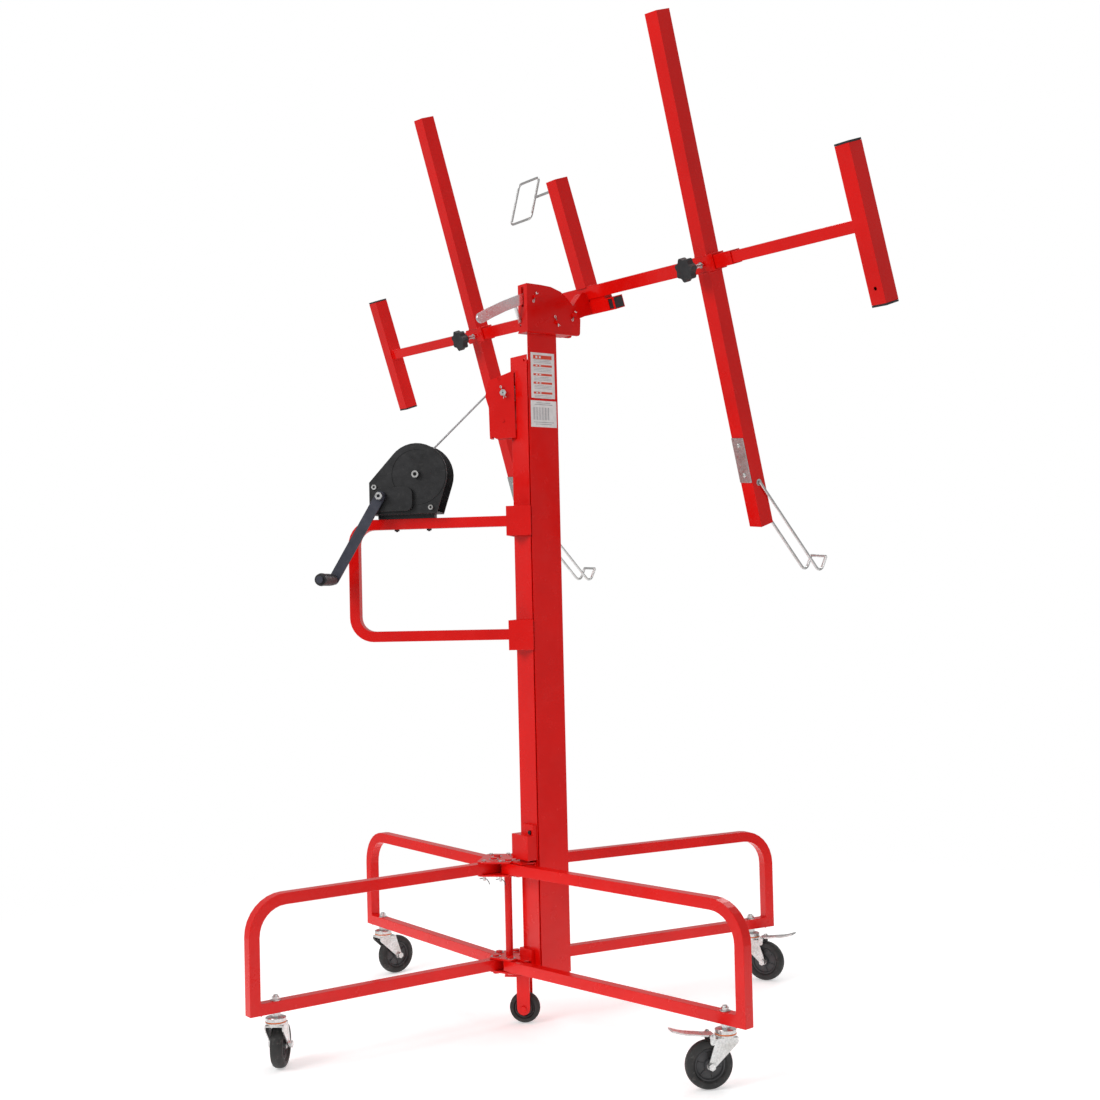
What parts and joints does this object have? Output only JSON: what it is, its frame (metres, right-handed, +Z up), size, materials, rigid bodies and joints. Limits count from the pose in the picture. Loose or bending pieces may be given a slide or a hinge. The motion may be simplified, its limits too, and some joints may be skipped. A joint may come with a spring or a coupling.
{
  "type": "drywall panel lift",
  "caption": "Rolling drywall panel lift: folding caster base, telescoping mast with cable winch, tilting cradle with sliding cross arms and board hooks.",
  "frame": {"origin": "on the floor, under the middle of the whole outline at rest", "axes": "+Z up; X along the line of symmetry of the base, with the winch handle on the -X side of the mast; the board side of the cradle faces +X+Y"},
  "size_m": [1.4356, 1.4446, 2.2753],
  "materials": {
    "red_paint": "glossy red powder coat on steel",
    "zinc": "bright zinc plate",
    "steel": "bare bright steel",
    "rubber": "black solid rubber",
    "black_paint": "satin black paint on steel",
    "blue_black_paint": "matt blue-black paint on steel",
    "black_plastic": "moulded black plastic"
  },
  "bodies": {
    "base": {"hub_upper": "red_paint", "hub_lower": "red_paint", "hub_spacer_tube": "red_paint", "centre_fork": "red_paint", "mast_post": "red_paint", "mast_socket": "red_paint", "handle_bracket_upper": "red_paint", "handle_bracket_lower": "red_paint", "handle_loop": "red_paint", "winch_frame": "black_paint", "winch_gear_cover": "black_paint", "pulley_bracket": "red_paint", "winch_cable": "steel"},
    "centre_wheel_body": {"centre_wheel": "rubber"},
    "middle_section": {"mast_middle_section": "red_paint"},
    "lift_head": {"mast_label_section": "red_paint", "head_bracket": "red_paint"},
    "lever": {"tilt_lever": "steel"},
    "cradle": {"cradle_bar": "red_paint"},
    "wire_loop": {"top_wire_loop": "zinc"},
    "drum": {"winch_drum": "zinc"},
    "crank": {"winch_crank": "blue_black_paint"},
    "grip": {"crank_grip": "black_plastic"},
    "pulley": {"cable_pulley": "zinc"},
    "leg_front_left": {"leg_frame_front_left": "red_paint"},
    "caster_front_left": {"caster_fork_front_left": "zinc"},
    "wheel_front_left": {"caster_wheel_front_left": "rubber"},
    "leg_rear_left": {"leg_frame_rear_left": "red_paint"},
    "caster_rear_left": {"caster_fork_rear_left": "zinc"},
    "wheel_rear_left": {"caster_wheel_rear_left": "rubber"},
    "leg_front_right": {"leg_frame_front_right": "red_paint"},
    "caster_front_right": {"caster_fork_front_right": "zinc"},
    "wheel_front_right": {"caster_wheel_front_right": "rubber"},
    "pedal_front_right": {"brake_pedal_front_right": "zinc"},
    "leg_rear_right": {"leg_frame_rear_right": "red_paint"},
    "caster_rear_right": {"caster_fork_rear_right": "zinc"},
    "wheel_rear_right": {"caster_wheel_rear_right": "rubber"},
    "pedal_rear_right": {"brake_pedal_rear_right": "zinc"},
    "extension_right": {"cradle_extension_right": "red_paint", "end_cap_right_top": "black_plastic", "end_cap_right_bottom": "black_plastic"},
    "arm_right": {"cross_arm_right": "red_paint", "hook_saddle_right": "zinc"},
    "knob_right": {"star_knob_right": "black_plastic"},
    "hook_right": {"board_hook_right": "zinc"},
    "extension_left": {"cradle_extension_left": "red_paint", "end_cap_left_top": "black_plastic", "end_cap_left_bottom": "black_plastic"},
    "arm_left": {"cross_arm_left": "red_paint", "hook_saddle_left": "zinc"},
    "knob_left": {"star_knob_left": "black_plastic"},
    "hook_left": {"board_hook_left": "zinc"}
  },
  "joints": [
    {"name": "lift_slide", "type": "slide", "parent": "base", "child": "lift_head", "axis": [0, 0, 1], "range_m": [0, 1.3]},
    {"name": "middle_slide", "type": "slide", "parent": "base", "child": "middle_section", "axis": [0, 0, 1], "range_m": [0, 0.65]},
    {"name": "cradle_tilt", "type": "hinge", "parent": "lift_head", "child": "cradle", "pos_m": [-0.04946, -0.04239, 1.681], "axis": [0.7071, -0.7071, 0], "range_deg": [0, 65]},
    {"name": "lever_pull", "type": "hinge", "parent": "lift_head", "child": "lever", "pos_m": [-0.10532, -0.14634, 1.716], "axis": [0.7071, -0.7071, 0], "range_deg": [-14, 0], "stiffness_Nm_per_rad": 1, "springref_deg": 11.46},
    {"name": "leg_fold_front_left", "type": "hinge", "parent": "base", "child": "leg_front_left", "pos_m": [-0.22836, -0.12179, 0], "axis": [0, 0, 1], "range_deg": [-37, 0]},
    {"name": "caster_swivel_front_left", "type": "hinge", "parent": "leg_front_left", "child": "caster_front_left", "pos_m": [-0.62998, -0.53048, 0], "axis": [0, 0, 1], "continuous": true},
    {"name": "wheel_spin_front_left", "type": "hinge", "parent": "caster_front_left", "child": "wheel_front_left", "pos_m": [-0.63395, -0.49269, 0.05], "axis": [-0.9945, -0.1045, 0], "continuous": true},
    {"name": "leg_fold_rear_left", "type": "hinge", "parent": "base", "child": "leg_rear_left", "pos_m": [-0.22836, -0.08179, 0], "axis": [0, 0, 1], "range_deg": [0, 37]},
    {"name": "caster_swivel_rear_left", "type": "hinge", "parent": "leg_rear_left", "child": "caster_rear_left", "pos_m": [-0.62998, 0.3269, 0], "axis": [0, 0, 1], "continuous": true},
    {"name": "wheel_spin_rear_left", "type": "hinge", "parent": "caster_rear_left", "child": "wheel_rear_left", "pos_m": [-0.60407, 0.35469, 0.05], "axis": [-0.7314, 0.682, 0], "continuous": true},
    {"name": "leg_fold_front_right", "type": "hinge", "parent": "base", "child": "leg_front_right", "pos_m": [-0.18986, -0.14029, 0], "axis": [0, 0, 1], "range_deg": [-60, 0]},
    {"name": "caster_swivel_front_right", "type": "hinge", "parent": "leg_front_right", "child": "caster_front_right", "pos_m": [0.33336, -0.54177, 0], "axis": [0, 0, 1], "continuous": true},
    {"name": "wheel_spin_front_right", "type": "hinge", "parent": "caster_front_right", "child": "wheel_front_right", "pos_m": [0.29812, -0.556, 0.05], "axis": [0.3746, -0.9272, 0], "continuous": true},
    {"name": "brake_press_front_right", "type": "hinge", "parent": "caster_front_right", "child": "pedal_front_right", "pos_m": [0.30183, -0.5545, 0.1105], "axis": [0.3746, -0.9272, 0], "range_deg": [0, 7]},
    {"name": "leg_fold_rear_right", "type": "hinge", "parent": "base", "child": "leg_rear_right", "pos_m": [-0.18986, -0.06329, 0], "axis": [0, 0, 1], "range_deg": [0, 60]},
    {"name": "caster_swivel_rear_right", "type": "hinge", "parent": "leg_rear_right", "child": "caster_rear_right", "pos_m": [0.35319, 0.35341, 0], "axis": [0, 0, 1], "continuous": true},
    {"name": "wheel_spin_rear_right", "type": "hinge", "parent": "caster_rear_right", "child": "wheel_rear_right", "pos_m": [0.38912, 0.34104, 0.05], "axis": [0.3256, 0.9455, 0], "continuous": true},
    {"name": "brake_press_rear_right", "type": "hinge", "parent": "caster_rear_right", "child": "pedal_rear_right", "pos_m": [0.38534, 0.34234, 0.1105], "axis": [0.3256, 0.9455, 0], "range_deg": [0, 7]},
    {"name": "centre_wheel_spin", "type": "hinge", "parent": "base", "child": "centre_wheel_body", "pos_m": [-0.16486, -0.10179, 0.0365], "axis": [0, 1, 0], "continuous": true},
    {"name": "drum_spin", "type": "hinge", "parent": "base", "child": "drum", "pos_m": [-0.39386, -0.10179, 1.308], "axis": [0, 1, 0], "continuous": true},
    {"name": "crank_spin", "type": "hinge", "parent": "base", "child": "crank", "pos_m": [-0.47786, -0.10179, 1.257], "axis": [0, 1, 0], "continuous": true},
    {"name": "grip_spin", "type": "hinge", "parent": "crank", "child": "grip", "pos_m": [-0.59686, -0.10179, 1.06], "axis": [0, 1, 0], "continuous": true},
    {"name": "pulley_spin", "type": "hinge", "parent": "base", "child": "pulley", "pos_m": [-0.17886, -0.11239, 1.496], "axis": [0, 1, 0], "continuous": true},
    {"name": "extension_slide_right", "type": "slide", "parent": "cradle", "child": "extension_right", "axis": [0.7114, -0.7025, -0.019], "range_m": [-0.33, 0.1]},
    {"name": "arm_slide_right", "type": "slide", "parent": "cradle", "child": "arm_right", "axis": [0.7114, -0.7025, -0.019], "range_m": [-0.25, 0.04]},
    {"name": "knob_turn_right", "type": "hinge", "parent": "arm_right", "child": "knob_right", "pos_m": [0.29473, -0.36398, 1.72068], "axis": [0.6716, 0.6716, 0.313], "continuous": true},
    {"name": "hook_swing_right", "type": "hinge", "parent": "arm_right", "child": "hook_right", "pos_m": [0.40752, -0.18895, 1.25806], "axis": [0.7237, -0.6851, -0.0828], "range_deg": [-15, 30]},
    {"name": "extension_slide_left", "type": "slide", "parent": "cradle", "child": "extension_left", "axis": [-0.7114, 0.7025, 0.019], "range_m": [-0.33, 0.06]},
    {"name": "arm_slide_left", "type": "slide", "parent": "cradle", "child": "arm_left", "axis": [-0.7114, 0.7025, 0.019], "range_m": [-0.25, 0.008]},
    {"name": "knob_turn_left", "type": "hinge", "parent": "arm_left", "child": "knob_left", "pos_m": [-0.35987, 0.29884, 1.70304], "axis": [0.6716, 0.6716, 0.313], "continuous": true},
    {"name": "hook_swing_left", "type": "hinge", "parent": "arm_left", "child": "hook_left", "pos_m": [-0.23591, 0.45665, 1.2534], "axis": [0.7171, -0.6955, -0.0464], "range_deg": [-15, 30]},
    {"name": "loop_turn", "type": "hinge", "parent": "cradle", "child": "wire_loop", "pos_m": [-0.05728, -0.06534, 1.99013], "axis": [0.7071, -0.7071, 0], "continuous": true}
  ],
  "couplings": [
    {"joint": "middle_slide", "follows": "lift_slide", "ratio": 0.5},
    {"joint": "crank_spin", "follows": "drum_spin", "ratio": -3.3409},
    {"joint": "pulley_spin", "follows": "drum_spin", "ratio": 0.6931}
  ]
}
